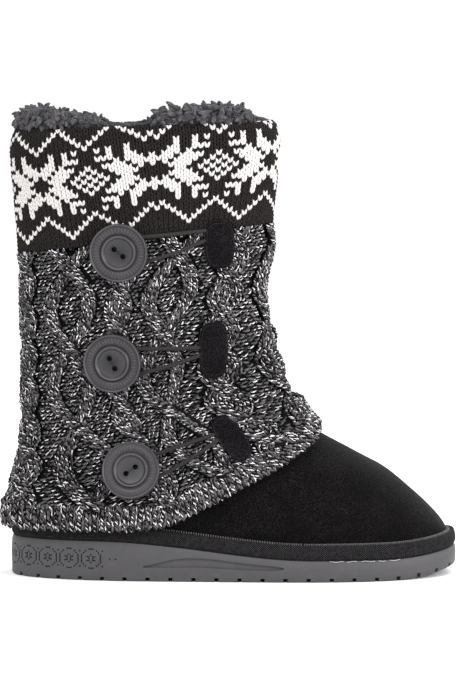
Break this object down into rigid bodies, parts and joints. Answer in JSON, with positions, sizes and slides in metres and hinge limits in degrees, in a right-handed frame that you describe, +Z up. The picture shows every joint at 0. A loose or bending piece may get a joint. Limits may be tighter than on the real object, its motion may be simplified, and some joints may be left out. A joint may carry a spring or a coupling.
{
  "type": "knit-covered winter boot",
  "caption": "Mid-calf right boot in suede with a cable-knit and patterned knit cover, fleece collar, button closures and a flat lugged sole.",
  "frame": {"origin": "bottom centre of the bounding box, on the ground plane under the sole", "axes": "+X towards the toe, -Y towards the outer side of the foot, which has the buttons, +Z up"},
  "size_m": [0.274, 0.1076, 0.2808],
  "materials": {
    "rubber": "semi-matte moulded grey rubber",
    "textile_band": "dark twill tape wrapped round the platform",
    "fleece": "charcoal sherpa pile",
    "suede": "black suede with a short nap",
    "cable_knit": "marled black, grey and white cable knit",
    "pattern_knit": "black and off-white two-colour knit",
    "button": "satin dark grey plastic",
    "elastic": "braided elastic cord"
  },
  "bodies": {
    "root": {"outsole": "rubber", "midsole": "textile_band", "insole": "fleece", "upper": "suede", "knit_shaft": "cable_knit", "knit_cuff": "pattern_knit", "collar_lining": "fleece", "button_top": "button", "button_middle": "button", "button_bottom": "button", "loop_top": "elastic", "loop_middle": "elastic", "loop_bottom": "elastic", "tab_top": "suede", "tab_middle": "suede", "tab_bottom": "suede"}
  },
  "joints": []
}
